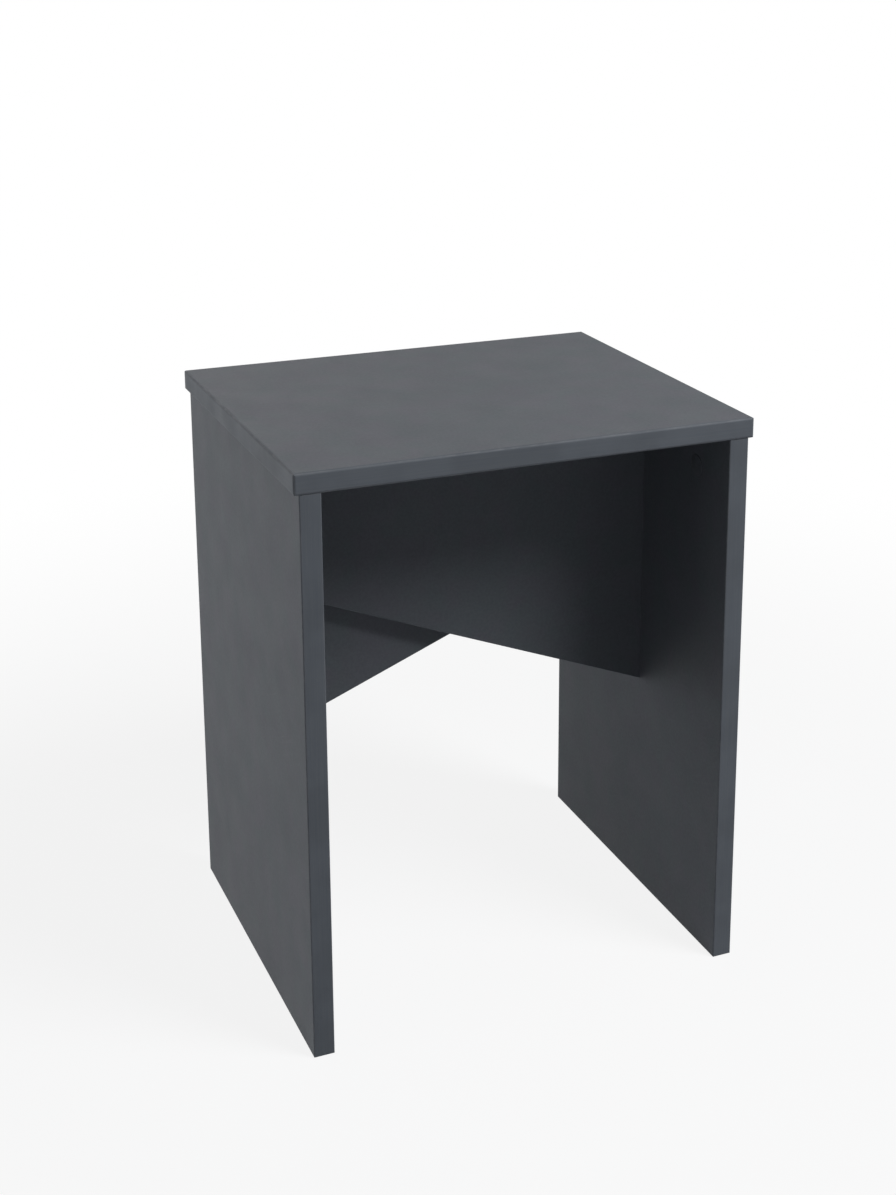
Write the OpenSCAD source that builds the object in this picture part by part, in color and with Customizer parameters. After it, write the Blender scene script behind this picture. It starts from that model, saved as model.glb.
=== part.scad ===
// Laminate stool. A seat panel lies on two side panels that reach the floor.
// Two aprons with a slanted lower edge stand back to back under the middle of the seat.
// All boards are laminated chipboard with glued edge bands, joined by cam fittings and dowels.
// Origin on the floor at the middle of the stool, +X to the right, +Y to the rear, +Z up.

/* [Stool] */
// Width of the seat, from left to right
seat_w = 360; // [300:1:480]
// Depth of the seat, from front to rear
seat_d = 304; // [260:1:400]
// Height of the top of the seat above the floor
stool_h = 453; // [400:1:520]
// How far the seat stands out past each side panel
side_overhang = 4; // [0:0.5:12]
// How far the seat stands out past the front and rear edges of the side panels
end_overhang = 1; // [0:0.5:10]

/* [Boards] */
// Thickness of every laminated board
board_t = 16; // [15:0.5:19]
// Thickness of the edge bands round the seat
seat_band_t = 2; // [1:0.1:3]
// Thickness of the edge bands of the side panels
side_band_t = 1; // [0.5:0.1:2]
// Thickness of the edge band under each apron
apron_band_t = 1; // [0.5:0.1:2]

/* [Aprons] */
// Height of an apron at its tall end
apron_tall = 249; // [225:1:300]
// Height of an apron at its short end
apron_short = 122; // [110:1:150]
// How far the joint between the two aprons lies behind the middle of the stool
seam_back = 4; // [-20:1:20]

/* [Cam fittings] */
// Distance from the joint between two boards to the middle of the cam lock
cam_reach = 34; // [30:0.5:38]
// Diameter of the cam lock
cam_d = 15; // [14:0.1:16]
// Diameter of the round head that the cam draws in
bolt_head_d = 6.5; // [6:0.1:7]
// Diameter of the neck behind the head
bolt_neck_d = 4; // [3:0.1:4.5]
// Diameter of the smooth shank
bolt_shank_d = 6; // [5.5:0.1:6.5]
// Diameter of the collar that stops the bolt at the joint
bolt_collar_d = 7.4; // [7:0.1:7.8]
// Thickness of that collar
bolt_collar_t = 1.2; // [0.8:0.1:2]
// Diameter of the bore for the shank
bolt_bore_d = 8; // [7.9:0.1:9]
// Diameter of the thread that is screwed into the other board
bolt_thread_d = 5; // [4.5:0.1:6]
// Length of that thread
bolt_thread_l = 11; // [9:0.5:12]
// Diameter of the cover cap over a cam lock
cap_d = 17; // [16.6:0.1:19]
// Thickness of the cover cap
cap_t = 1; // [0.6:0.1:1.5]
// Diameter of the peg under the cover cap
cap_peg_d = 3.6; // [3:0.1:4]
// Length of that peg
cap_peg_l = 2; // [1.5:0.1:2.4]

/* [Dowels] */
// Diameter of the wooden dowels
dowel_d = 8; // [7:0.1:9]
// Length of the wooden dowels
dowel_l = 30; // [25:0.5:35]
// How deep a dowel stands in the face of a board
dowel_in_face = 10.5; // [8:0.5:12]
// Number of glue flutes along a dowel
dowel_flutes = 10; // [6:1:14]

/* [Screws] */
// Length of the screws that join the two aprons
screw_l = 25; // [22:0.5:28]
// Diameter of the screws
screw_d = 3.5; // [3:0.1:4]
// Diameter of the countersunk head
screw_head_d = 7; // [6:0.1:8]

/* [Places] */
// Middle of a seat cam from the front or rear edge of the side panel
seat_cam_inset = 50; // [45:1:60]
// Middle of the first end dowel below the top of an apron
end_dowel_drop = 25; // [20:1:28]
// Middle of the second cam above the tip of the tall end
tall_cam_rise = 45; // [40:1:60]
// Distance from a cam to the dowel next to it
dowel_pitch = 32; // [25:1:34]

/* [Hidden] */
$fn = 48;

// Fits
fit_gap = 0.1;
head_gap = 0.35;
peg_gap = 0.6;
dowel_slack = 0.5;
overrun = 1;

// Side panels and the room between them
side_h = stool_h - board_t;
side_d = seat_d - 2 * end_overhang;
side_out = seat_w / 2 - side_overhang;
side_in = side_out - board_t;
side_mid = side_out - board_t / 2;
inner_w = 2 * side_in;

// Slope of the lower edge of the aprons, and the height that the band takes there
apron_slope = atan((apron_tall - apron_short) / inner_w);
apron_band_h = apron_band_t / cos(apron_slope);
apron_mid_h = (apron_tall + apron_short) / 2;

// Cam lock: its room for the bolt's head is off centre, so that turning it draws the bolt in
cam_sink = 0.3;
cam_floor = 0.7;
cam_wall_share = 0.35;
cam_off_centre = 0.6;
cam_room_r = cam_d / 2 * (1 - cam_wall_share);
cam_room_h = bolt_head_d + 2 * head_gap;
cam_low = board_t / 2 + cam_room_h / 2 + cam_floor;
cam_h = cam_low - cam_sink;
cam_cross_w = 1.6;
cam_cross_l = 8;
cam_cross_h = cap_peg_l + peg_gap;

// Bolt: from the joint to its head, which rests on the wall of the cam's room
head_x = cam_room_r - cam_off_centre - bolt_head_d / 2;
head_flat_share = 0.8;
bolt_l = cam_reach - head_x;
shank_l = cam_reach - cam_d / 2 - overrun;
bolt_tip = 1;
cap_edge_r = cap_t / 2;

// Dowels and screws
dowel_chamfer = 1;
flute_r = 0.4;
dowel_in_edge = dowel_l - dowel_in_face;
screw_sink = 0.2;
screw_tip_l = 4;

// Cross recess in the ends of the bolts and in the heads of the screws
cross_l = 3.6;
cross_w = 0.9;
cross_h = 1.4;

// Rows of fittings down the ends of the aprons, as drops below the top
end_cam_drop = end_dowel_drop + dowel_pitch;
low_dowel_drop = end_cam_drop + dowel_pitch;
tall_cam_drop = apron_tall - tall_cam_rise;
tall_dowel_drop = tall_cam_drop - dowel_pitch;
short_dowel_drops = [end_dowel_drop, low_dowel_drop];
tall_dowel_drops = [end_dowel_drop, low_dowel_drop, tall_dowel_drop];

// Rows of fittings along the top of the sides and of the aprons
seat_cam_y = side_d / 2 - seat_cam_inset;
seat_dowel_y = seat_cam_y - dowel_pitch;
top_dowel_share = 0.25;
top_dowel_x = inner_w * top_dowel_share;

// Screws through the rear apron into the front one: [across the stool, down the apron]
high_screw_shares = [0.34, 0.32];
low_screw_shares = [0.15, 0.75];
high_screw = [inner_w * high_screw_shares[0], apron_short * high_screw_shares[1]];
low_screw = [inner_w * low_screw_shares[0], apron_mid_h * low_screw_shares[1]];

laminate = "#5b5e63";
band_plastic = "#54575c";
beech = "burlywood";
zinc = "silver";
steel = "gray";

// Plain shapes

// Rectangle about the origin with round corners
module round_rect(w, d, r) {
  difference() {
    square([w, d], center = true);
    for (sx = [-1, 1], sy = [-1, 1])
      translate([sx * (w / 2 - r), sy * (d / 2 - r)])
        difference() {
          translate([min(sx, 0) * (r + overrun), min(sy, 0) * (r + overrun)]) square(r + overrun);
          circle(r);
        }
  }
}

// Panel about the middle of its lower face, rounded along every edge
module round_panel(size, r) {
  translate([0, 0, size[2] / 2])
    intersection() {
      linear_extrude(size[2], center = true) round_rect(size[0], size[1], r);
      rotate([90, 0, 0]) linear_extrude(size[1], center = true) round_rect(size[0], size[2], r);
      rotate([90, 0, 90]) linear_extrude(size[0], center = true) round_rect(size[1], size[2], r);
    }
}

// Box between two corners
module box(low, high) {
  translate(low) cube(high - low);
}

// Cross for a screwdriver, cut down from the origin
module driver_cross(l, w, h) {
  for (turn = [0, 90])
    rotate(turn) translate([-l / 2, -w / 2, -h]) cube([l, w, h + overrun]);
}

// Places

// The four cams in the inner faces of the sides: local z points out of the face, x to the seat
module at_seat_cams() {
  for (y = [-seat_cam_y, seat_cam_y]) {
    translate([-side_in, y, side_h - cam_reach]) rotate([0, 90, 0]) rotate(180) children();
    translate([side_in, y, side_h - cam_reach]) rotate([0, -90, 0]) children();
  }
}

// The top of the joint between the aprons, for the rear apron as it is
module at_seam() {
  translate([0, seam_back, side_h]) children();
}

// The same for the front apron, which is the rear one turned half round
module at_seam_turned() {
  at_seam() rotate(180) children();
}

// The three cams in the rear face of the rear apron: local z points to the rear, x to the side
module at_rear_apron_cams() {
  at_seam() {
    for (drop = [end_cam_drop, tall_cam_drop])
      translate([cam_reach - side_in, board_t, -drop]) rotate([-90, 0, 0]) rotate(180) children();
    translate([side_in - cam_reach, board_t, -end_cam_drop]) rotate([-90, 0, 0]) children();
  }
}

// The cam in the rear face of the front apron, below the edge of the rear apron
module at_front_apron_cam() {
  at_seam() translate([side_in - cam_reach, 0, -tall_cam_drop]) rotate([-90, 0, 0]) children();
}

// Dowels between the sides and the seat: local z points into the seat
module at_seat_dowels() {
  for (sx = [-1, 1], sy = [-1, 1])
    translate([sx * side_mid, sy * seat_dowel_y, side_h]) children();
}

// Dowels in the ends of an apron, below the top of the joint: local z points into the side
module at_end_dowels() {
  for (drop = tall_dowel_drops)
    translate([-side_in, board_t / 2, -drop]) rotate([0, -90, 0]) children();
  for (drop = short_dowel_drops)
    translate([side_in, board_t / 2, -drop]) rotate([0, 90, 0]) children();
}

// Dowels between the top of an apron and the seat
module at_top_dowels() {
  for (sx = [-1, 1])
    translate([sx * top_dowel_x, board_t / 2, 0]) children();
}

// Screws in the rear face of the rear apron: local z points to the rear
module at_apron_screws() {
  for (place = [high_screw, low_screw], sx = [-1, 1])
    at_seam() translate([sx * place[0], board_t, -place[1]]) rotate([-90, 0, 0]) children();
}

// Bores

// Cam bore in the face, shank bore in the edge and thread bore in the board past the joint
module cam_bores() {
  translate([0, 0, -cam_low]) cylinder(h = cam_low + overrun, d = cam_d + 2 * fit_gap);
  translate([0, 0, -board_t / 2]) rotate([0, 90, 0]) {
    cylinder(h = cam_reach, d = bolt_bore_d);
    cylinder(h = cam_reach + bolt_thread_l + dowel_slack, d = bolt_thread_d + 2 * fit_gap);
  }
}

// Bore for a dowel in both boards of a joint
module dowel_bore() {
  translate([0, 0, -dowel_in_edge - dowel_slack])
    cylinder(h = dowel_l + 2 * dowel_slack, d = dowel_d + 2 * fit_gap);
}

// Countersink and pilot bore for a screw
module screw_bore() {
  translate([0, 0, -screw_l - screw_sink]) cylinder(h = screw_l, d = screw_d + 2 * fit_gap);
  translate([0, 0, -screw_sink - (screw_head_d - screw_d) / 2])
    cylinder(h = (screw_head_d - screw_d) / 2, d1 = screw_d + 2 * fit_gap, d2 = screw_head_d + 2 * fit_gap);
  translate([0, 0, -screw_sink]) cylinder(h = screw_sink + overrun, d = screw_head_d + 2 * fit_gap);
}

// Boards and bands

// Whole seat panel with its bands on
module seat_blank() {
  translate([0, 0, side_h]) round_panel([seat_w, seat_d, board_t], min(seat_band_t, board_t / 2));
}

// Board of the seat inside the bands
module seat_board() {
  color(laminate)
    difference() {
      intersection() {
        seat_blank();
        box([seat_band_t - seat_w / 2, seat_band_t - seat_d / 2, side_h],
          [seat_w / 2 - seat_band_t, seat_d / 2 - seat_band_t, stool_h]);
      }
      at_seat_cams() cam_bores();
      at_seat_dowels() dowel_bore();
      at_seam() at_top_dowels() dowel_bore();
      at_seam_turned() at_top_dowels() dowel_bore();
    }
}

// Band along the front (-1) or the rear (1) edge of the seat, over the ends of the short bands
module seat_long_band(sy) {
  color(band_plastic)
    intersection() {
      seat_blank();
      translate([0, sy * (seat_d / 2 - seat_band_t / 2), side_h + board_t / 2])
        cube([seat_w, seat_band_t, board_t], center = true);
    }
}

// Band along the left (-1) or the right (1) edge of the seat
module seat_short_band(sx) {
  color(band_plastic)
    intersection() {
      seat_blank();
      translate([sx * (seat_w / 2 - seat_band_t / 2), 0, side_h + board_t / 2])
        cube([seat_band_t, seat_d - 2 * seat_band_t, board_t], center = true);
    }
}

module seat_band_front() { seat_long_band(-1); }
module seat_band_rear() { seat_long_band(1); }
module seat_band_left() { seat_short_band(-1); }
module seat_band_right() { seat_short_band(1); }

// Whole side panel with its bands on, square at the top where the seat lies
module side_blank(sx) {
  intersection() {
    translate([sx * side_mid, 0, 0]) round_panel([board_t, side_d, side_h + board_t], side_band_t);
    translate([sx * side_mid, 0, side_h / 2]) cube([board_t, side_d, side_h], center = true);
  }
}

// Board of a side panel inside the bands
module side_board(sx) {
  color(laminate)
    difference() {
      intersection() {
        side_blank(sx);
        translate([sx * side_mid, 0, side_band_t + side_h / 2])
          cube([board_t, side_d - 2 * side_band_t, side_h], center = true);
      }
      at_seat_cams() cam_bores();
      at_seat_dowels() dowel_bore();
      at_rear_apron_cams() cam_bores();
      at_front_apron_cam() cam_bores();
      at_seam() at_end_dowels() dowel_bore();
      at_seam_turned() at_end_dowels() dowel_bore();
    }
}

// Band along the front (-1) or the rear (1) edge of a side panel
module side_long_band(sx, sy) {
  color(band_plastic)
    intersection() {
      side_blank(sx);
      translate([sx * side_mid, sy * (side_d / 2 - side_band_t / 2), side_h / 2])
        cube([board_t, side_band_t, side_h], center = true);
    }
}

// Band under a side panel, on which it stands
module side_foot_band(sx) {
  color(band_plastic)
    intersection() {
      side_blank(sx);
      translate([sx * side_mid, 0, side_band_t / 2])
        cube([board_t, side_d - 2 * side_band_t, side_band_t], center = true);
    }
}

module left_side_board() { side_board(-1); }
module left_band_front() { side_long_band(-1, -1); }
module left_band_rear() { side_long_band(-1, 1); }
module left_band_bottom() { side_foot_band(-1); }
module right_side_board() { side_board(1); }
module right_band_front() { side_long_band(1, -1); }
module right_band_rear() { side_long_band(1, 1); }
module right_band_bottom() { side_foot_band(1); }

// Board of an apron about the top of the joint: tall at the left, short at the right
module apron_blank() {
  translate([0, board_t, 0]) rotate([90, 0, 0]) linear_extrude(board_t)
    polygon([
      [-side_in, 0],
      [-side_in, apron_band_h - apron_tall],
      [side_in, apron_band_h - apron_short],
      [side_in, 0]
    ]);
}

// Band under that board, rounded along its lower edges and cut upright at the sides
module apron_band() {
  color(band_plastic)
    intersection() {
      translate([0, board_t / 2, -apron_mid_h]) rotate([0, -apron_slope, 0])
        intersection() {
          round_panel([2 * inner_w, board_t, board_t], apron_band_t);
          translate([0, 0, apron_band_t / 2]) cube([2 * inner_w, board_t, apron_band_t], center = true);
        }
      translate([0, board_t / 2, -apron_mid_h]) cube([inner_w, board_t, side_h], center = true);
    }
}

// Board of an apron with the bores for its dowels
module drilled_apron() {
  difference() {
    apron_blank();
    at_end_dowels() dowel_bore();
    at_top_dowels() dowel_bore();
  }
}

module front_apron_board() {
  color(laminate)
    difference() {
      at_seam_turned() drilled_apron();
      at_front_apron_cam() cam_bores();
      at_apron_screws() screw_bore();
    }
}

module rear_apron_board() {
  color(laminate)
    difference() {
      at_seam() drilled_apron();
      at_rear_apron_cams() cam_bores();
      at_apron_screws() screw_bore();
    }
}

module front_apron_band() { at_seam_turned() apron_band(); }
module rear_apron_band() { at_seam() apron_band(); }

// Fittings

// Room in a cam lock: for the head, for the neck as the cam turns, and the two ways in
module cam_room() {
  translate([0, 0, -board_t / 2]) {
    translate([-cam_off_centre, 0, -cam_room_h / 2]) cylinder(h = cam_room_h, r = cam_room_r);
    difference() {
      cylinder(h = bolt_neck_d + 2 * head_gap, d = cam_d + overrun, center = true);
      translate([0, -cam_d, 0]) cube(2 * cam_d, center = true);
    }
    rotate([0, 90, 0]) cylinder(h = cam_d, d = bolt_neck_d + 2 * head_gap);
    rotate([0, -90, 0]) cylinder(h = cam_d, d = bolt_head_d + 2 * head_gap);
  }
}

// Cam lock with its top a little under the face of the board
module cam_lock() {
  difference() {
    translate([0, 0, -cam_low]) cylinder(h = cam_h, d = cam_d);
    cam_room();
    translate([0, 0, -cam_sink]) {
      driver_cross(cam_cross_l, cam_cross_w, cam_cross_h);
      translate([0, 0, -cam_cross_h]) cylinder(h = cam_cross_h + overrun, d = cap_peg_d + 2 * fit_gap);
    }
  }
}

// Bolt from its thread in one board to the head in the cam lock, flat and crossed at its end
module cam_bolt() {
  translate([0, 0, -board_t / 2]) rotate([0, 90, 0])
    difference() {
      union() {
        translate([0, 0, head_x]) sphere(d = bolt_head_d);
        translate([0, 0, head_x]) cylinder(h = bolt_l, d = bolt_neck_d);
        translate([0, 0, cam_reach - shank_l]) cylinder(h = shank_l, d = bolt_shank_d);
        translate([0, 0, cam_reach - bolt_collar_t]) cylinder(h = bolt_collar_t, d = bolt_collar_d);
        translate([0, 0, cam_reach]) cylinder(h = bolt_thread_l - bolt_tip, d = bolt_thread_d);
        translate([0, 0, cam_reach + bolt_thread_l - bolt_tip])
          cylinder(h = bolt_tip, d1 = bolt_thread_d, d2 = bolt_thread_d - bolt_tip);
      }
      translate([0, 0, head_x - bolt_head_d / 2 * head_flat_share]) rotate([180, 0, 0]) {
        translate([0, 0, bolt_head_d / 2]) cube(bolt_head_d, center = true);
        driver_cross(cross_l, cross_w, cross_h);
      }
    }
}

// Cover cap: a thin disc with a round edge on the face of the board, and a peg in the cam
module cam_cap() {
  rotate_extrude() {
    square([cap_d / 2 - cap_edge_r, cap_t]);
    translate([cap_d / 2 - cap_edge_r, cap_edge_r]) circle(cap_edge_r);
  }
  translate([0, 0, -cam_sink - cap_peg_l]) cylinder(h = cap_peg_l + cam_sink + cap_edge_r, d = cap_peg_d);
}

// Wooden dowel with glue flutes and chamfered ends
module dowel() {
  translate([0, 0, -dowel_in_edge])
    intersection() {
      linear_extrude(dowel_l)
        difference() {
          circle(d = dowel_d);
          for (i = [0 : dowel_flutes - 1])
            rotate(i * 360 / dowel_flutes) translate([dowel_d / 2, 0]) circle(flute_r);
        }
      rotate_extrude()
        polygon([
          [0, 0],
          [dowel_d / 2 - dowel_chamfer, 0],
          [dowel_d / 2, dowel_chamfer],
          [dowel_d / 2, dowel_l - dowel_chamfer],
          [dowel_d / 2 - dowel_chamfer, dowel_l],
          [0, dowel_l]
        ]);
    }
}

// Countersunk screw with a pointed end
module screw() {
  translate([0, 0, -screw_sink])
    difference() {
      rotate_extrude()
        polygon([
          [0, 0],
          [screw_head_d / 2, 0],
          [screw_d / 2, -(screw_head_d - screw_d) / 2],
          [screw_d / 2, screw_tip_l - screw_l],
          [0, -screw_l]
        ]);
      driver_cross(cross_l, cross_w, cross_h);
    }
}

module seat_cam_locks() { color(zinc) at_seat_cams() cam_lock(); }
module seat_cam_bolts() { color(steel) at_seat_cams() cam_bolt(); }
module seat_cam_caps() { color(band_plastic) at_seat_cams() cam_cap(); }

module apron_cam_locks() {
  color(zinc) {
    at_rear_apron_cams() cam_lock();
    at_front_apron_cam() cam_lock();
  }
}

module apron_cam_bolts() {
  color(steel) {
    at_rear_apron_cams() cam_bolt();
    at_front_apron_cam() cam_bolt();
  }
}

module apron_cam_caps() {
  color(band_plastic) {
    at_rear_apron_cams() cam_cap();
    at_front_apron_cam() cam_cap();
  }
}

module seat_dowels() { color(beech) at_seat_dowels() dowel(); }

module apron_end_dowels() {
  color(beech) {
    at_seam() at_end_dowels() dowel();
    at_seam_turned() at_end_dowels() dowel();
  }
}

module apron_top_dowels() {
  color(beech) {
    at_seam() at_top_dowels() dowel();
    at_seam_turned() at_top_dowels() dowel();
  }
}

module apron_screws() { color(steel) at_apron_screws() screw(); }

seat_board();
seat_band_front();
seat_band_rear();
seat_band_left();
seat_band_right();
left_side_board();
left_band_front();
left_band_rear();
left_band_bottom();
right_side_board();
right_band_front();
right_band_rear();
right_band_bottom();
front_apron_board();
front_apron_band();
rear_apron_board();
rear_apron_band();
seat_cam_locks();
seat_cam_bolts();
seat_cam_caps();
apron_cam_locks();
apron_cam_bolts();
apron_cam_caps();
seat_dowels();
apron_end_dowels();
apron_top_dowels();
apron_screws();
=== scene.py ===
import math
import bpy
import numpy as np
from mathutils import Matrix, Vector


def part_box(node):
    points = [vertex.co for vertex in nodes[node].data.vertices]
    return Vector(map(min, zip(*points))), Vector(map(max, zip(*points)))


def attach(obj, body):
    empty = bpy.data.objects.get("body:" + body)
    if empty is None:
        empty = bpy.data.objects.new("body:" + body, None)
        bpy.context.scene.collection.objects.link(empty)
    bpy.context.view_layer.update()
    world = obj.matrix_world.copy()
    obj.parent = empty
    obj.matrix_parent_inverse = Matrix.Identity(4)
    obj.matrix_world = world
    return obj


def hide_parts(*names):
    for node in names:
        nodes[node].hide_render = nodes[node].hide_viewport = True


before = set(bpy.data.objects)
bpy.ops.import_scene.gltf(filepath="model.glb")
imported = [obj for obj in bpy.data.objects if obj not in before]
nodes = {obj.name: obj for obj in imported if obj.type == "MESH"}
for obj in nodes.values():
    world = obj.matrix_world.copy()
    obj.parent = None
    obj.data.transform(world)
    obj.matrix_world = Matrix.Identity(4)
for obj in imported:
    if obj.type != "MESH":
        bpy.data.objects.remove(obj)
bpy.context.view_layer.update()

mm = 0.001
print("frame loaded:", len(nodes), "nodes")


# Box round several CAD nodes together
def boxOf(*names):
    boxes = [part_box(name) for name in names]
    low = Vector([min(box[0][axis] for box in boxes) for axis in range(3)])
    high = Vector([max(box[1][axis] for box in boxes) for axis in range(3)])
    return low, high


# Copies of one shape: every point p goes to origin + x * toSide + y * (out x toSide) + z * out
def putAt(points, places):
    origin = np.array([place["at"] for place in places])
    out = np.array([place["out"] for place in places], float)
    toSide = np.array([place["toSide"] for place in places], float)
    turns = np.stack([toSide, np.cross(out, toSide), out], axis=1)
    return np.einsum("pi,nij->npj", points, turns) + origin[:, None, :]


# Closed skin of rings round an axis: ring i meets ring i + 1 in quads, and each end ring closes on a point
def ringFaces(ringCount, spokeCount):
    ring, spoke = np.meshgrid(np.arange(ringCount - 1), np.arange(spokeCount), indexing="ij")
    after = (spoke + 1) % spokeCount
    quads = np.stack([ring * spokeCount + spoke, ring * spokeCount + after,
                      (ring + 1) * spokeCount + after, (ring + 1) * spokeCount + spoke], axis=-1)
    spokes = np.arange(spokeCount)
    nextSpokes = (spokes + 1) % spokeCount
    firstPole, lastPole = ringCount * spokeCount, ringCount * spokeCount + 1
    lastRing = (ringCount - 1) * spokeCount
    firstFan = np.stack([np.full(spokeCount, firstPole), nextSpokes, spokes], axis=-1)
    lastFan = np.stack([np.full(spokeCount, lastPole), lastRing + spokes, lastRing + nextSpokes], axis=-1)
    return quads.reshape(-1, 4), np.concatenate([firstFan, lastFan])


# Profile through knots (radius, height) in metres, with steps of about the given length on every leg
def profileThrough(knots, step):
    lengths = np.linalg.norm(np.diff(knots, axis=0), axis=1)
    counts = np.maximum(1, np.round(lengths / step)).astype(int)
    ends = np.concatenate([[0], np.cumsum(lengths)])
    legs = [np.linspace(a, b, count, endpoint=False) for a, b, count in zip(ends[:-1], ends[1:], counts)]
    way = np.concatenate([*legs, ends[-1:]])
    return np.interp(way, ends, knots[:, 0]), np.interp(way, ends, knots[:, 1])


# The profile through knots in mm, on every spoke: radius, height and angle, a row for each ring and a column for
# each spoke
def spokedProfile(knots, part):
    radius, height = profileThrough(knots * mm, part["step"])
    angle = np.linspace(0, 2 * math.pi, part["spokes"], endpoint=False)
    return np.broadcast_arrays(radius[:, None], height[:, None], angle)


# Turns a profile round the z axis: point (i, k) is radius * (cos angle, sin angle) at height, each of them taken
# at [i, k], and a pole stands in the middle of each end ring
def turnedPoints(radius, height, angle):
    ring = np.stack([radius * np.cos(angle), radius * np.sin(angle), height], axis=-1).reshape(-1, 3)
    poles = np.array([[0, 0, height[0].mean()], [0, 0, height[-1].mean()]])
    return np.concatenate([ring, poles])


# Smooth step from 0 to 1 as value goes from 0 to 1
def softStep(value):
    value = np.clip(value, 0, 1)
    return value * value * (3 - 2 * value)


# Radius with a thread on it: a ridge on the core climbs one pitch in every turn and fades at both ends, and along
# the rod the radius grows in the ratio of core with ridge to core alone
def threadedRadius(radius, way, angle, thread):
    turn = way / thread["pitch"] - angle / (2 * math.pi)
    ridge = softStep(1 - np.abs(2 * (turn - np.floor(turn)) - 1) / thread["ridgeShare"])
    fadeIn = softStep((way - thread["start"]) / thread["fadeLength"])
    fadeOut = softStep((thread["end"] - way) / thread["fadeLength"])
    ridged = thread["core"] + (thread["outer"] - thread["core"]) * ridge * (fadeIn * fadeOut)
    onRod = (way > thread["start"] + thread["shoulder"]) & (way < thread["end"])
    return np.where(onRod, radius * ridged / thread["core"], radius)


# Depth of a cross recess under a point: full where the smaller of |x| and |y| is inside half the arm's width
# and the larger inside half its length, with soft sides
def crossDepth(radius, angle, cross):
    x, y = np.abs(radius * np.cos(angle)), np.abs(radius * np.sin(angle))
    inArm = softStep((cross["armWidth"] / 2 - np.minimum(x, y)) / cross["soft"] + 0.5)
    inLength = softStep((cross["armLength"] / 2 - np.maximum(x, y)) / cross["softEnd"] + 0.5)
    return cross["depth"] * inArm * inLength


# One object of several closed skins of rings, which rides on the stool
def fittingPiece(name, replaced, part, points, places, finish):
    placed = putAt(points, places)
    # all points but the two poles lie in rings
    quads, fans = ringFaces((len(points) - 2) // part["spokes"], part["spokes"])
    firsts = np.arange(len(places))[:, None, None] * len(points)
    faces = (quads + firsts).reshape(-1, 4).tolist() + (fans + firsts).reshape(-1, 3).tolist()
    mesh = bpy.data.meshes.new(name)
    mesh.from_pydata(placed.reshape(-1, 3).tolist(), [], faces)
    mesh.polygons.foreach_set("use_smooth", np.ones(len(mesh.polygons), bool))
    mesh.set_sharp_from_angle(angle=math.radians(part["sharpAngle"]))
    mesh.update()
    made = bpy.data.objects.new(name, mesh)
    bpy.context.scene.collection.objects.link(made)
    mesh.materials.append(finish)
    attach(made, "root")
    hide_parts(replaced)


# Adds a node; each feed is a number, a tuple or another node's output
def addNode(tree, kind, feeds=None, **settings):
    made = tree.nodes.new("ShaderNode" + kind)
    for name, value in settings.items():
        setattr(made, name, value)
    for name, value in (feeds or {}).items():
        if isinstance(value, bpy.types.NodeSocket):
            tree.links.new(value, made.inputs[name])
        else:
            made.inputs[name].default_value = value
    return made


def mathsOf(tree, operation, first, second=0.0, clamp=False):
    return addNode(tree, "Math", {0: first, 1: second}, operation=operation, use_clamp=clamp).outputs[0]


# Noise with scale lumps to the metre
def noiseOf(tree, coords, scale, detail=2.0, roughness=0.5, distortion=0.0):
    return addNode(tree, "TexNoise", {"Vector": coords, "Scale": scale, "Detail": detail, "Roughness": roughness,
                                      "Distortion": distortion}).outputs[0]


# Value moved from one range to another along a smooth step
def rangeOf(tree, value, low, high, toLow=0.0, toHigh=1.0):
    return addNode(tree, "MapRange", {"Value": value, "From Min": low, "From Max": high, "To Min": toLow,
                                      "To Max": toHigh}, interpolation_type="SMOOTHSTEP").outputs[0]


# Patches of noise: toLow where the noise is under low, toHigh where it is over high, and smooth between
def patchesOf(tree, coords, low, high, toLow=0.0, toHigh=1.0, **noise):
    return rangeOf(tree, noiseOf(tree, coords, **noise), low, high, toLow, toHigh)


def mixedColour(tree, factor, first, second, blend="MIX"):
    made = addNode(tree, "Mix", {0: factor}, data_type="RGBA", blend_type=blend)
    for socket, value in ((made.inputs[6], first), (made.inputs[7], second)):
        if isinstance(value, bpy.types.NodeSocket):
            tree.links.new(value, socket)
        else:
            socket.default_value = (*value, 1)
    return made.outputs[2]


# Colour made darker or paler by a factor
def shadedColour(tree, colour, shade):
    grey = addNode(tree, "CombineColor", {0: shade, 1: shade, 2: shade}).outputs[0]
    return mixedColour(tree, 1.0, colour, grey, "MULTIPLY")


# Coordinates of a pattern on axes of its own, turned first: fineness is how many times finer it gets along each
def placedCoords(tree, coords, fineness, turn=(0, 0, 0)):
    size = tuple(1 / value for value in fineness)
    return addNode(tree, "Mapping", {"Vector": coords, "Rotation": turn, "Scale": size},
                   vector_type="TEXTURE").outputs[0]


# Empty material with the object's own coordinates and a shader
def startFinish(name, shaderValues):
    material = bpy.data.materials.new(name)
    material.use_nodes = True
    tree = material.node_tree
    tree.nodes.clear()
    shader = addNode(tree, "BsdfPrincipled", shaderValues)
    addNode(tree, "OutputMaterial", {"Surface": shader.outputs[0]})
    return material, tree, addNode(tree, "TexCoord").outputs["Object"], shader


# Colour, roughness and relief into the shader: each relief is a noise and the height of its bumps in metres
def joinUp(tree, coords, shader, colour, roughness, reliefs):
    tree.links.new(colour, shader.inputs["Base Color"])
    tree.links.new(roughness, shader.inputs["Roughness"])
    under = {}
    for height, noise in reliefs:
        feeds = {"Height": noiseOf(tree, coords, **noise), "Distance": height, "Strength": 1.0, **under}
        under = {"Normal": addNode(tree, "Bump", feeds).outputs[0]}
    tree.links.new(under["Normal"], shader.inputs["Normal"])


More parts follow.
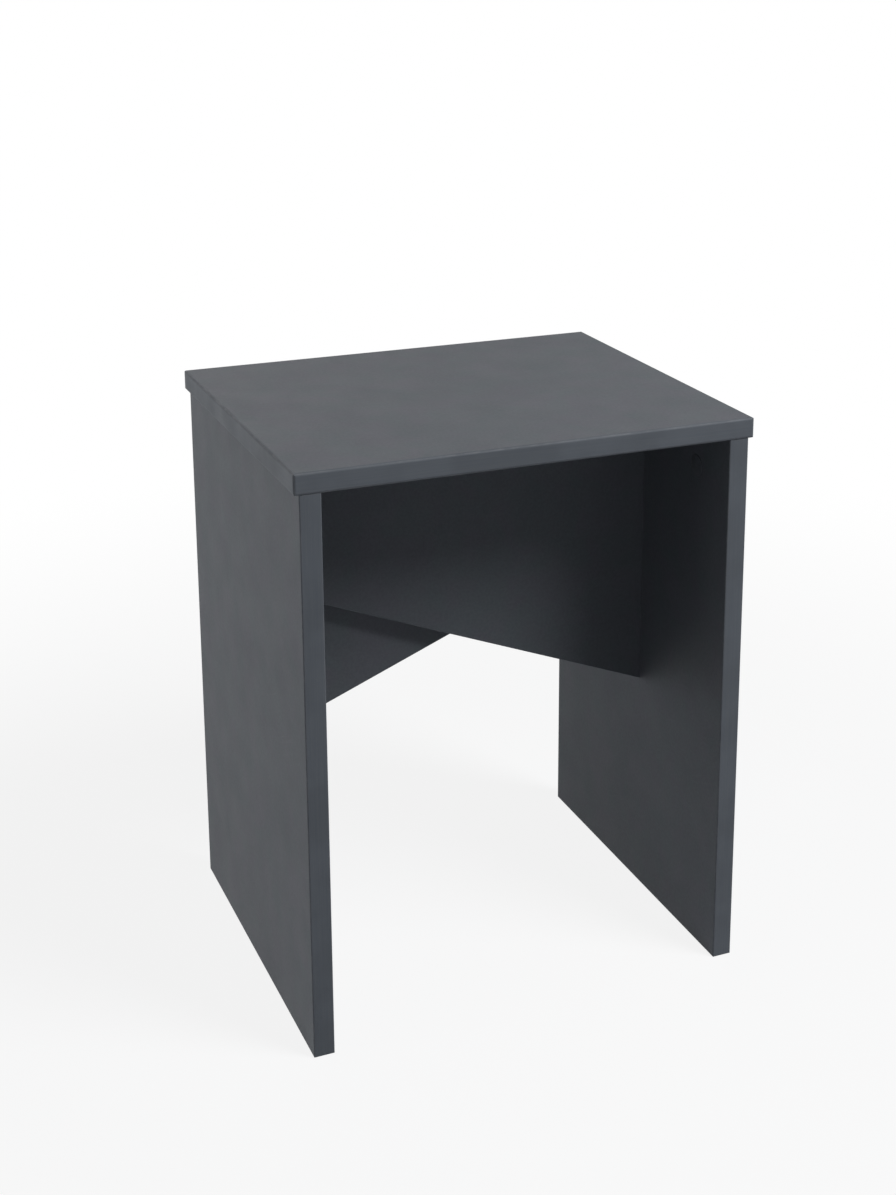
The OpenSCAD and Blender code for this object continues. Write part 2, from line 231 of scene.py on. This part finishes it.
# Distances inside a panel. Local x, y and z run from its middle; the room left to each pair of faces is the half
# size less |x|, |y| or |z|. The middle one of the three is the distance to the nearest edge
def panelDistances(tree, coords, panel):
    local = addNode(tree, "Mapping", {"Vector": coords, "Location": panel["middle"], "Rotation": panel["turn"]},
                    vector_type="TEXTURE").outputs[0]
    size = addNode(tree, "VectorMath", {0: local}, operation="ABSOLUTE").outputs[0]
    room = addNode(tree, "VectorMath", {0: panel["half"], 1: size}, operation="SUBTRACT").outputs[0]
    x, y, z = addNode(tree, "SeparateXYZ", {0: room}).outputs
    larger = mathsOf(tree, "MAXIMUM", x, y)
    smaller = mathsOf(tree, "MINIMUM", x, y)
    toEdge = mathsOf(tree, "MAXIMUM", smaller, mathsOf(tree, "MINIMUM", larger, z))
    return toEdge, (x, y, z)


# Where the edges are rubbed: full at the edge, gone a rub's width further in, and only in patches
def rubbedEdges(tree, coords, toEdge, panel, look):
    start = panel["arris"] * look["rubFrom"]
    strip = rangeOf(tree, toEdge, start, start + look["rubWidth"], 1.0, 0.0)
    return mathsOf(tree, "MULTIPLY", strip, patchesOf(tree, coords, **look["rubPatches"]))


laminate = dict(
    shader={"Specular IOR Level": 0.2, "IOR": 1.5},
    graphite=(0.1125, 0.1215, 0.133),
    cool=(0.1085, 0.1226, 0.1326), coolPatches=dict(scale=60.0, detail=4.0, roughness=0.55, low=0.36, high=0.64),
    warm=(0.1164, 0.1202, 0.1358),
    warmPatches=dict(scale=36.0, detail=3.0, roughness=0.5, distortion=0.6, low=0.4, high=0.66),
    fleck=dict(scale=430.0, detail=3.0, roughness=0.6, low=0.34, high=0.66, toLow=0.955, toHigh=1.045),
    cloud=dict(scale=26.0, detail=3.0, low=0.35, high=0.65, toLow=0.985, toHigh=1.015),
    hairline=(0.185, 0.19, 0.2), hairlineWidth=0.012, hairlineShare=0.2,
    hairlinePatches=dict(scale=11.0, detail=2.0, low=0.55, high=0.75),
    hairlineNoise=dict(scale=1.0, detail=1.0, roughness=0.4),
    hairlines=[dict(angle=0.42, fineness=(9, 230, 230)), dict(angle=-0.95, fineness=(14, 290, 290))],
    joint=(0.045, 0.048, 0.055), jointWidth=0.22 * mm, jointShare=0.8,
    rubbed=(0.18, 0.184, 0.196), rubFrom=0.3, rubWidth=1.1 * mm,
    rubPatches=dict(scale=130.0, detail=4.0, roughness=0.65, low=0.42, high=0.66, toHigh=0.4),
    dullness=dict(scale=28.0, detail=5.0, roughness=0.6, low=0.3, high=0.7, toLow=0.585, toHigh=0.635),
    rubPolish=0.15, hairlinePolish=0.3,
    reliefs=[(0.008 * mm, dict(scale=60.0, detail=2.0, roughness=0.4)),
             (0.03 * mm, dict(scale=950.0, detail=2.0, roughness=0.45))])


# Matt graphite laminate: mottled colour, fine flecks, a pearl-embossed skin, hairline marks, a thin dark joint line
# by the edge bands and rubbed edges
def laminateFinish(name, panel, marks):
    material, tree, coords, shader = startFinish(name, laminate["shader"])
    toEdge, rooms = panelDistances(tree, coords, panel)
    coolShare = patchesOf(tree, coords, **laminate["coolPatches"])
    colour = mixedColour(tree, coolShare, laminate["graphite"], laminate["cool"])
    colour = mixedColour(tree, patchesOf(tree, coords, **laminate["warmPatches"]), colour, laminate["warm"])
    fleck, cloud = (patchesOf(tree, coords, **laminate[pattern]) for pattern in ("fleck", "cloud"))
    colour = shadedColour(tree, colour, mathsOf(tree, "MULTIPLY", fleck, cloud))
    # hairlines in the plane of the face: two stretched noises, cut where they pass a half
    lines = 0.0
    for hairline in laminate["hairlines"]:
        angle = hairline["angle"]
        turn = ((0, angle, math.pi / 2), (0, angle, 0), (0, 0, angle))[panel["facing"]]
        streak = noiseOf(tree, placedCoords(tree, coords, hairline["fineness"], turn), **laminate["hairlineNoise"])
        offset = mathsOf(tree, "ABSOLUTE", mathsOf(tree, "SUBTRACT", streak, 0.5))
        lines = mathsOf(tree, "MAXIMUM", rangeOf(tree, offset, 0.0, laminate["hairlineWidth"], 1.0, 0.0), lines)
    share = patchesOf(tree, coords, **laminate["hairlinePatches"], toHigh=laminate["hairlineShare"] * marks)
    lines = mathsOf(tree, "MULTIPLY", lines, share)
    colour = mixedColour(tree, lines, colour, laminate["hairline"])
    # the glue line beside the bands, where the room left is the band's thickness
    joint = 0.0
    for room, band in zip(rooms, panel["band"]):
        if band:
            offset = mathsOf(tree, "ABSOLUTE", mathsOf(tree, "SUBTRACT", room, band))
            line = rangeOf(tree, offset, 0.0, laminate["jointWidth"], laminate["jointShare"], 0.0)
            joint = mathsOf(tree, "MAXIMUM", line, joint)
    colour = mixedColour(tree, joint, colour, laminate["joint"])
    rub = rubbedEdges(tree, coords, toEdge, panel, laminate)
    colour = mixedColour(tree, rub, colour, laminate["rubbed"])
    roughness = patchesOf(tree, coords, **laminate["dullness"])
    for polished, polish in ((rub, laminate["rubPolish"]), (lines, laminate["hairlinePolish"])):
        roughness = mathsOf(tree, "SUBTRACT", roughness, mathsOf(tree, "MULTIPLY", polished, polish), clamp=True)
    joinUp(tree, coords, shader, colour, roughness, laminate["reliefs"])
    return material


edgeBand = dict(
    shader={"Specular IOR Level": 0.19, "IOR": 1.5},
    graphite=(0.109, 0.1205, 0.1365), light=(0.119, 0.13, 0.144),
    fineAcross=900.0, fineAlong=12.0, streaks=dict(scale=1.0, detail=3.0, roughness=0.55, low=0.3, high=0.7),
    cloud=dict(scale=24.0, detail=3.0, low=0.35, high=0.65, toLow=0.93, toHigh=1.06),
    rubbed=(0.18, 0.184, 0.196), rubFrom=0.3, rubWidth=0.9 * mm,
    rubPatches=dict(scale=110.0, detail=4.0, roughness=0.65, low=0.4, high=0.68, toLow=0.05, toHigh=0.5),
    dullness=dict(scale=40.0, detail=4.0, roughness=0.6, low=0.3, high=0.7, toLow=0.54, toHigh=0.62), rubPolish=0.16,
    reliefs=[(0.012 * mm, dict(scale=34.0, detail=1.0, roughness=0.4)),
             (0.02 * mm, dict(scale=1500.0, detail=2.0, roughness=0.5))])


# Satin edge band: faint streaks along its length, a fine grain, slow waves from the press roller, edges rubbed pale
def bandFinish(name, panel, along):
    material, tree, coords, shader = startFinish(name, edgeBand["shader"])
    toEdge, _ = panelDistances(tree, coords, panel)
    fineness = [edgeBand["fineAlong"] if axis == along else edgeBand["fineAcross"] for axis in range(3)]
    streakCoords = placedCoords(tree, coords, fineness, panel["turn"])
    streaks = patchesOf(tree, streakCoords, **edgeBand["streaks"])
    colour = mixedColour(tree, streaks, edgeBand["graphite"], edgeBand["light"])
    colour = shadedColour(tree, colour, patchesOf(tree, coords, **edgeBand["cloud"]))
    rub = rubbedEdges(tree, coords, toEdge, panel, edgeBand)
    colour = mixedColour(tree, rub, colour, edgeBand["rubbed"])
    polish = mathsOf(tree, "MULTIPLY", rub, edgeBand["rubPolish"])
    roughness = mathsOf(tree, "SUBTRACT", patchesOf(tree, coords, **edgeBand["dullness"]), polish, clamp=True)
    joinUp(tree, coords, shader, colour, roughness, edgeBand["reliefs"])
    return material


# satin moulded plastic of the cover caps, spark-eroded, with slight clouds and pale spots
capPlastic = dict(
    shader={"Specular IOR Level": 0.4, "IOR": 1.49},
    colours=[(0.097, 0.104, 0.116), (0.108, 0.115, 0.127)], clouds=dict(scale=160.0, detail=3.0, low=0.35, high=0.65),
    markColour=(0.16, 0.163, 0.172), marks=dict(scale=900.0, detail=2.0, low=0.62, high=0.75, toHigh=0.35),
    dullness=dict(scale=220.0, detail=3.0, low=0.3, high=0.7, toLow=0.42, toHigh=0.55),
    reliefs=[(0.012 * mm, dict(scale=2600.0, detail=2.0, roughness=0.6))])

# dull die-cast zinc alloy: cloudy grey with small casting pores
castZinc = dict(
    shader={"Metallic": 1.0},
    colours=[(0.46, 0.465, 0.475), (0.66, 0.66, 0.665)],
    clouds=dict(scale=260.0, detail=4.0, roughness=0.6, low=0.3, high=0.7),
    markColour=(0.27, 0.27, 0.28), marks=dict(scale=1900.0, detail=2.0, low=0.6, high=0.72, toHigh=0.6),
    dullness=dict(scale=420.0, detail=4.0, roughness=0.6, low=0.3, high=0.7, toLow=0.34, toHigh=0.58),
    reliefs=[(0.03 * mm, dict(scale=1400.0, detail=3.0, roughness=0.6))])

# zinc-plated steel: cool grey with faint straw tints of the passivation, and dull spots
platedSteel = dict(
    shader={"Metallic": 1.0},
    colours=[(0.56, 0.57, 0.6), (0.62, 0.6, 0.53)],
    clouds=dict(scale=190.0, detail=3.0, roughness=0.6, distortion=0.8, low=0.35, high=0.65),
    markColour=(0.36, 0.36, 0.36), marks=dict(scale=700.0, detail=3.0, low=0.52, high=0.72, toHigh=0.5),
    dullness=dict(scale=520.0, detail=4.0, roughness=0.6, low=0.3, high=0.7, toLow=0.22, toHigh=0.44),
    reliefs=[(0.012 * mm, dict(scale=2400.0, detail=2.0, roughness=0.6))])

# raw beech of the dowels: growth stripes and short dark rays along the axis, where all is drawn out, and open pores
rawBeech = dict(
    shader={"Specular IOR Level": 0.3}, fineAlong=0.06,
    colours=[(0.68, 0.49, 0.31), (0.52, 0.34, 0.19)],
    clouds=dict(scale=420.0, detail=4.0, roughness=0.6, distortion=0.5, low=0.3, high=0.7),
    markColour=(0.36, 0.21, 0.11), marks=dict(scale=1500.0, detail=2.0, low=0.58, high=0.7, toHigh=0.7),
    dullness=dict(scale=700.0, detail=3.0, low=0.3, high=0.7, toLow=0.62, toHigh=0.82),
    reliefs=[(0.06 * mm, dict(scale=1900.0, detail=3.0, roughness=0.6))])


# Finish of the hidden fittings: two colours in clouds, marks of a third one, uneven roughness and a fine relief
def fittingFinish(name, look, along=None):
    material, tree, coords, shader = startFinish(name, look["shader"])
    if along is not None:
        coords = placedCoords(tree, coords, [look["fineAlong"] if axis == along else 1 for axis in range(3)])
    colour = mixedColour(tree, patchesOf(tree, coords, **look["clouds"]), *look["colours"])
    colour = mixedColour(tree, patchesOf(tree, coords, **look["marks"]), colour, look["markColour"])
    joinUp(tree, coords, shader, colour, patchesOf(tree, coords, **look["dullness"]), look["reliefs"])
    return material


# edges of each kind of panel: the axis its faces are square to, how thick its bands are along x, y and z, and how
# far the rounding of an edge goes in
seatEdges = dict(facing=2, band=(2 * mm, 2 * mm, 0), arris=2 * mm)
sideEdges = dict(facing=0, band=(0, 1 * mm, 0), arris=1 * mm)
apronEdges = dict(facing=1, band=(0, 0, 1 * mm), arris=1 * mm)
apron = dict(bandHeight=1.08 * mm, reach=0.4)


# Where a panel is, with its edges
def panelOf(names, edges):
    low, high = boxOf(*names)
    return dict(middle=(low + high) / 2, half=(high - low) / 2, turn=(0, 0, 0), **edges)


# An apron's frame lies along its slanted lower edge: x down the slope, z square to the edge. Only that edge and
# the two faces are near, so the other sides are put far off
def apronPanelOf(board, band, slopeSign):
    low, high = boxOf(board, band)
    bandLow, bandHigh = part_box(band)
    slope = slopeSign * math.atan2(bandHigh.z - bandLow.z - apron["bandHeight"], high.x - low.x)
    middleOfEdge = Vector((0, (low.y + high.y) / 2, (bandLow.z + bandHigh.z - apron["bandHeight"]) / 2))
    upright = Vector((math.sin(slope), 0, math.cos(slope)))
    return dict(middle=middleOfEdge + upright * apron["reach"],
                half=Vector((apron["reach"] * 4, (high.y - low.y) / 2, apron["reach"])),
                turn=(0, slope, 0), **apronEdges)


seatEnds, sideEnds = ["front", "rear", "left", "right"], ["front", "rear", "bottom"]
panels = dict(
    seat=panelOf(["seat_board", *("seat_band_" + end for end in seatEnds)], seatEdges),
    leftSide=panelOf(["left_side_board", *("left_band_" + end for end in sideEnds)], sideEdges),
    rightSide=panelOf(["right_side_board", *("right_band_" + end for end in sideEnds)], sideEdges),
    frontApron=apronPanelOf("front_apron_board", "front_apron_band", slopeSign=1),
    rearApron=apronPanelOf("rear_apron_board", "rear_apron_band", slopeSign=-1))

# the seat gets the most use and the aprons the least, and their hairline marks follow that
boardFinishes = dict(
    seat_board=laminateFinish("laminate_seat", panels["seat"], marks=1.0),
    left_side_board=laminateFinish("laminate_left_side", panels["leftSide"], marks=0.7),
    right_side_board=laminateFinish("laminate_right_side", panels["rightSide"], marks=0.7),
    front_apron_board=laminateFinish("laminate_front_apron", panels["frontApron"], marks=0.5),
    rear_apron_board=laminateFinish("laminate_rear_apron", panels["rearApron"], marks=0.5))

# each band with its panel and the axis that it runs along
bandRuns = dict(
    seat_band_front=("seat", 0), seat_band_rear=("seat", 0), seat_band_left=("seat", 1), seat_band_right=("seat", 1),
    left_band_front=("leftSide", 2), left_band_rear=("leftSide", 2), left_band_bottom=("leftSide", 1),
    right_band_front=("rightSide", 2), right_band_rear=("rightSide", 2), right_band_bottom=("rightSide", 1),
    front_apron_band=("frontApron", 0), rear_apron_band=("rearApron", 0))
bandFinishes = {name: bandFinish("finish_" + name, panels[panel], along) for name, (panel, along) in bandRuns.items()}

capFinish, zincFinish = fittingFinish("cap_plastic", capPlastic), fittingFinish("cast_zinc", castZinc)
steelFinish = fittingFinish("plated_steel", platedSteel)
beechUpright = fittingFinish("beech_upright", rawBeech, along=2)
beechLevel = fittingFinish("beech_level", rawBeech, along=0)
nodeFinishes = {**boardFinishes, **bandFinishes, "seat_cam_locks": zincFinish, "apron_cam_locks": zincFinish,
                "seat_dowels": beechUpright, "apron_top_dowels": beechUpright, "apron_end_dowels": beechLevel}
for name, finish in nodeFinishes.items():
    slots = nodes[name].material_slots
    if len(slots) == 0:
        nodes[name].data.materials.append(finish)
    for slot in slots:
        slot.material = finish
print("finishes set on", len(nodeFinishes), "nodes")

# the fittings stand where the CAD has them: at is on the face that they are put into, out is square to it
toRear, toLeft, toRight, toSeat = (0, 1, 0), (-1, 0, 0), (1, 0, 0), (0, 0, 1)
fittings = dict(sideFace=160 * mm, seatCamRow=101 * mm, seatCamHeight=403 * mm, apronCamSide=126 * mm,
                rearFace=20 * mm, seam=4 * mm, highCam=380 * mm, lowCam=233 * mm,
                highScrew=(108.8 * mm, 397.96 * mm), lowScrew=(48 * mm, 297.875 * mm))
seatCamPlaces = [
    dict(at=(side * fittings["sideFace"], row * fittings["seatCamRow"], fittings["seatCamHeight"]),
         out=(-side, 0, 0), toSide=toSeat)
    for side in (-1, 1) for row in (-1, 1)]
apronCamPlaces = [
    dict(at=(-fittings["apronCamSide"], fittings["rearFace"], fittings["highCam"]), out=toRear, toSide=toLeft),
    dict(at=(-fittings["apronCamSide"], fittings["rearFace"], fittings["lowCam"]), out=toRear, toSide=toLeft),
    dict(at=(fittings["apronCamSide"], fittings["rearFace"], fittings["highCam"]), out=toRear, toSide=toRight),
    dict(at=(fittings["apronCamSide"], fittings["seam"], fittings["lowCam"]), out=toRear, toSide=toRight)]
screwPlaces = [
    dict(at=(side * across, fittings["rearFace"], height), out=toRear, toSide=toRight)
    for across, height in (fittings["highScrew"], fittings["lowScrew"]) for side in (-1, 1)]

coverCap = dict(
    slot="cover_cap", spokes=72, step=0.22 * mm, sharpAngle=38,
    # from the tip of the peg over its side, the flat underside, the thin lip and the low dome to the middle
    knots=[(0.3, -2.3), (1.5, -2.3), (1.8, -2.0), (1.8, -0.02), (1.95, 0), (8.15, 0), (8.42, 0.08), (8.5, 0.25),
           (8.44, 0.4), (8.2, 0.5), (7.75, 0.55), (7.5, 0.53), (7.3, 0.58), (6.4, 0.72), (5, 0.85), (3, 0.95),
           (1.2, 0.99), (0.3, 1)])


# Cover caps: the profile turned round, with a flat spot at each pole
def coverCaps(name, places, replaced):
    points = turnedPoints(*spokedProfile(np.array(coverCap["knots"]), coverCap))
    fittingPiece(name, replaced, coverCap, points, places, capFinish)


coverCaps("caps_over_seat_cams", seatCamPlaces, "seat_cam_caps")
coverCaps("caps_over_apron_cams", apronCamPlaces, "apron_cam_caps")

camBolt = dict(
    slot="fitting_steel", spokes=56, step=0.17 * mm, sharpAngle=50, boardMiddle=-8 * mm,
    # the flat of the ball head and the ball, in mm, with the way along the bolt taken from the cam's axis
    flatAt=-1.575, flatRings=24, flatFrom=0.1, ballMiddle=1.025, ballRadius=3.25, ballRings=26, neckRadius=2,
    # as (radius, way): neck, shank, collar up to the joint of the two boards, and the core of the thread
    knots=[(2, 7.9), (2.75, 8.5), (3, 8.8), (3, 32.75), (3.55, 32.8), (3.7, 32.95), (3.7, 33.85), (3.55, 34),
           (1.75, 34.02), (1.75, 44), (0.15, 45)],
    thread=dict(pitch=2.2 * mm, ridgeShare=0.7, fadeLength=0.9 * mm, core=1.75 * mm, outer=2.5 * mm,
                start=34 * mm, shoulder=0.1 * mm, end=45 * mm),
    cross=dict(armWidth=0.9 * mm, armLength=2.9 * mm, depth=1.3 * mm, soft=0.3 * mm, softEnd=0.4 * mm))
sameLevel = 0.0001 * mm  # heights closer than this are in one flat


# Cam bolts: ball head with a cross in its flat, neck, shank, collar and a coarse thread
def camBolts(name, places, replaced):
    flatAngle = math.acos((camBolt["ballMiddle"] - camBolt["flatAt"]) / camBolt["ballRadius"])
    neckAngle = math.pi - math.asin(camBolt["neckRadius"] / camBolt["ballRadius"])
    ball = np.linspace(flatAngle, neckAngle, camBolt["ballRings"])
    ballKnots = np.stack([np.sin(ball) * camBolt["ballRadius"],
                          camBolt["ballMiddle"] - np.cos(ball) * camBolt["ballRadius"]], axis=-1)
    flatRadius = np.linspace(camBolt["flatFrom"], math.sin(flatAngle) * camBolt["ballRadius"], camBolt["flatRings"],
                             endpoint=False)
    flatKnots = np.stack([flatRadius, np.full(camBolt["flatRings"], camBolt["flatAt"])], axis=-1)
    radius, way, angle = spokedProfile(np.concatenate([flatKnots, ballKnots, camBolt["knots"]]), camBolt)
    radius = threadedRadius(radius, way, angle, camBolt["thread"])
    inFlat = way <= camBolt["flatAt"] * mm + sameLevel
    way = way + np.where(inFlat, crossDepth(radius, angle, camBolt["cross"]), 0)
    # the bolt lies along local x, in the middle of the board
    points = turnedPoints(radius, way, angle)[:, [2, 0, 1]] + np.array([0, 0, camBolt["boardMiddle"]])
    fittingPiece(name, replaced, camBolt, points, places, steelFinish)


camBolts("bolts_of_seat_cams", seatCamPlaces, "seat_cam_bolts")
camBolts("bolts_of_apron_cams", apronCamPlaces, "apron_cam_bolts")

apronScrew = dict(
    slot="fitting_steel", spokes=72, step=0.12 * mm, sharpAngle=50,
    # from the tip over the core of the thread, the plain neck and the cone to the rim of the head, and its flat top
    knots=[(0.08, -25.15), (1.2, -21.2), (1.2, -3.35), (1.6, -2.95), (1.6, -1.95), (3.4, -0.42), (3.5, -0.3)],
    topAt=-0.2, topRadius=3.42, topRings=46, topTo=0.08,
    thread=dict(pitch=1.6 * mm, ridgeShare=0.66, fadeLength=1 * mm, core=1.2 * mm, outer=1.75 * mm,
                start=-24.7 * mm, shoulder=0, end=-3.15 * mm),
    cross=dict(armWidth=0.95 * mm, armLength=3.7 * mm, depth=1.4 * mm, soft=0.32 * mm, softEnd=0.5 * mm))


# Countersunk screws: flat head with a cross recess, cone, short plain neck, thread to a point
def apronScrews(name, places, replaced):
    topRadius = np.linspace(apronScrew["topRadius"], apronScrew["topTo"], apronScrew["topRings"])
    topKnots = np.stack([topRadius, np.full(apronScrew["topRings"], apronScrew["topAt"])], axis=-1)
    radius, height, angle = spokedProfile(np.concatenate([apronScrew["knots"], topKnots]), apronScrew)
    radius = threadedRadius(radius, height, angle, apronScrew["thread"])
    onTop = height >= apronScrew["topAt"] * mm - sameLevel
    height = height - np.where(onTop, crossDepth(radius, angle, apronScrew["cross"]), 0)
    fittingPiece(name, replaced, apronScrew, turnedPoints(radius, height, angle), places, steelFinish)


apronScrews("screws_of_aprons", screwPlaces, "apron_screws")
print("fittings made")

studio = dict(
    floorHalf=40.0, floorPoints=3, floorDrop=0.05 * mm, floorShader={"Roughness": 0.9, "Specular IOR Level": 0.1},
    floorColour=(0.88, 0.88, 0.883), floorShade=0.99, floorClouds=dict(scale=3.0, detail=3.0, low=0.3, high=0.7),
    bounceColour=(0.45, 0.465, 0.5), fadeFrom=0.4, fadeTo=1.3, nearShare=0.87, white=(1, 1, 1, 1),
    aim=Vector((0, 0, 0.22)), lampDistance=2.6)


# 1 for the rays of the camera, of gloss and of glass, 0 for the light that surfaces give each other
def seenDirectly(tree):
    rays = addNode(tree, "LightPath").outputs
    return mathsOf(tree, "MAXIMUM", rays["Is Camera Ray"],
                   mathsOf(tree, "MAXIMUM", rays["Is Glossy Ray"], rays["Is Transmission Ray"]))


# A flat floor as a grid: point (i, k) is (-half + i * step, -half + k * step, -drop)
def makeFloor():
    count = studio["floorPoints"]
    side = np.linspace(-studio["floorHalf"], studio["floorHalf"], count)
    x, y = np.meshgrid(side, side, indexing="ij")
    points = np.stack([x, y, np.full_like(x, -studio["floorDrop"])], axis=-1).reshape(-1, 3)
    row, column = np.meshgrid(np.arange(count - 1), np.arange(count - 1), indexing="ij")
    corner = row * count + column
    faces = np.stack([corner, corner + count, corner + count + 1, corner + 1], axis=-1).reshape(-1, 4)
    mesh = bpy.data.meshes.new("floor")
    mesh.from_pydata(points.tolist(), [], faces.tolist())
    made = bpy.data.objects.new("floor", mesh)
    bpy.context.scene.collection.objects.link(made)
    material, tree, coords, shader = startFinish("pale_floor", studio["floorShader"])
    shaded = tuple(studio["floorShade"] * value for value in studio["floorColour"])
    colour = mixedColour(tree, patchesOf(tree, coords, **studio["floorClouds"]), studio["floorColour"], shaded)
    # the floor gives the stool less light back than its colour shows, so the shade under the seat stays deep
    colour = mixedColour(tree, seenDirectly(tree), studio["bounceColour"], colour)
    tree.links.new(colour, shader.inputs["Base Color"])
    # what the camera and the gloss see of the floor is part white, and away from the stool it is all white
    distance = addNode(tree, "VectorMath", {0: coords}, operation="LENGTH").outputs["Value"]
    share = rangeOf(tree, distance, studio["fadeFrom"], studio["fadeTo"], studio["nearShare"], 1.0)
    fade = mathsOf(tree, "MULTIPLY", share, seenDirectly(tree))
    plain = addNode(tree, "Emission", {"Color": studio["white"], "Strength": 1.0})
    both = addNode(tree, "MixShader", {0: fade, 1: shader.outputs[0], 2: plain.outputs[0]})
    output = next(node for node in tree.nodes if node.type == "OUTPUT_MATERIAL")
    tree.links.new(both.outputs[0], output.inputs["Surface"])
    mesh.materials.append(material)


makeFloor()

# the world is white where it is seen, and gives no light
world = bpy.data.worlds.new("studio")
bpy.context.scene.world = world
world.use_nodes = True
worldTree = world.node_tree
worldTree.nodes.clear()
around = addNode(worldTree, "Background", {"Color": studio["white"], "Strength": seenDirectly(worldTree)})
addNode(worldTree, "OutputWorld", {"Surface": around.outputs[0]})

# round soft boxes: azimuth goes round from the front to the right, elevation up from the floor, in degrees
lamps = [
    dict(name="right_front", azimuth=40, elevation=46, size=1.2, power=50.3, colour=(0.96, 0.977, 1)),
    dict(name="left_low", azimuth=-90, elevation=10, size=1.2, power=8.4, colour=(1, 0.98, 0.99)),
    dict(name="left_rear_low", azimuth=-135, elevation=4, size=0.8, power=9.0, colour=(0.88, 0.95, 1)),
    dict(name="rear_low", azimuth=180, elevation=9, size=1.2, power=7.5, colour=(1, 0.94, 0.95))]
for lamp in lamps:
    azimuth, elevation = math.radians(lamp["azimuth"]), math.radians(lamp["elevation"])
    away = Vector((math.sin(azimuth) * math.cos(elevation), -math.cos(azimuth) * math.cos(elevation),
                   math.sin(elevation)))
    light = bpy.data.lights.new(lamp["name"], "AREA")
    light.shape, light.size, light.energy, light.color = "DISK", lamp["size"], lamp["power"], lamp["colour"]
    holder = bpy.data.objects.new(lamp["name"], light)
    bpy.context.scene.collection.objects.link(holder)
    holder.location = studio["aim"] + away * studio["lampDistance"]
    holder.rotation_mode = "QUATERNION"
    holder.rotation_quaternion = away.to_track_quat("Z", "Y")
    holder.visible_camera = False

# the camera of the photograph, found from the stool's straight edges: focal length and middle in its pixels
view = dict(place=(-0.526697, -1.329331, 0.84292), yaw=24.5107, dip=14.8155, roll=0.4611,
            focalPixels=1885.46, middle=(549.654, 378.508), imageWidth=896, imageHeight=1195, sensor=36.0,
            clipStart=0.05, clipEnd=60)
yaw, dip, roll = (math.radians(view[name]) for name in ("yaw", "dip", "roll"))
ahead = Vector((math.sin(yaw) * math.cos(dip), math.cos(yaw) * math.cos(dip), -math.sin(dip)))
level = Vector((math.cos(yaw), -math.sin(yaw), 0))
above = level.cross(ahead)
across = level * math.cos(roll) + above * math.sin(roll)
upward = above * math.cos(roll) - level * math.sin(roll)
cameraData = bpy.data.cameras.new("photo_view")
cameraData.sensor_width = view["sensor"]
cameraData.lens = view["focalPixels"] * view["sensor"] / view["imageHeight"]
cameraData.shift_x = (view["imageWidth"] / 2 - view["middle"][0]) / view["imageHeight"]
cameraData.shift_y = (view["middle"][1] - view["imageHeight"] / 2) / view["imageHeight"]
cameraData.clip_start, cameraData.clip_end = view["clipStart"], view["clipEnd"]
camera = bpy.data.objects.new("photo_view", cameraData)
bpy.context.scene.collection.objects.link(camera)
turned = Matrix((across, upward, -ahead)).transposed().to_4x4()
camera.matrix_world = Matrix.Translation(Vector(view["place"])) @ turned
bpy.context.scene.camera = camera
bpy.context.scene.view_settings.view_transform = "Standard"
print("floor, lamps and camera set")
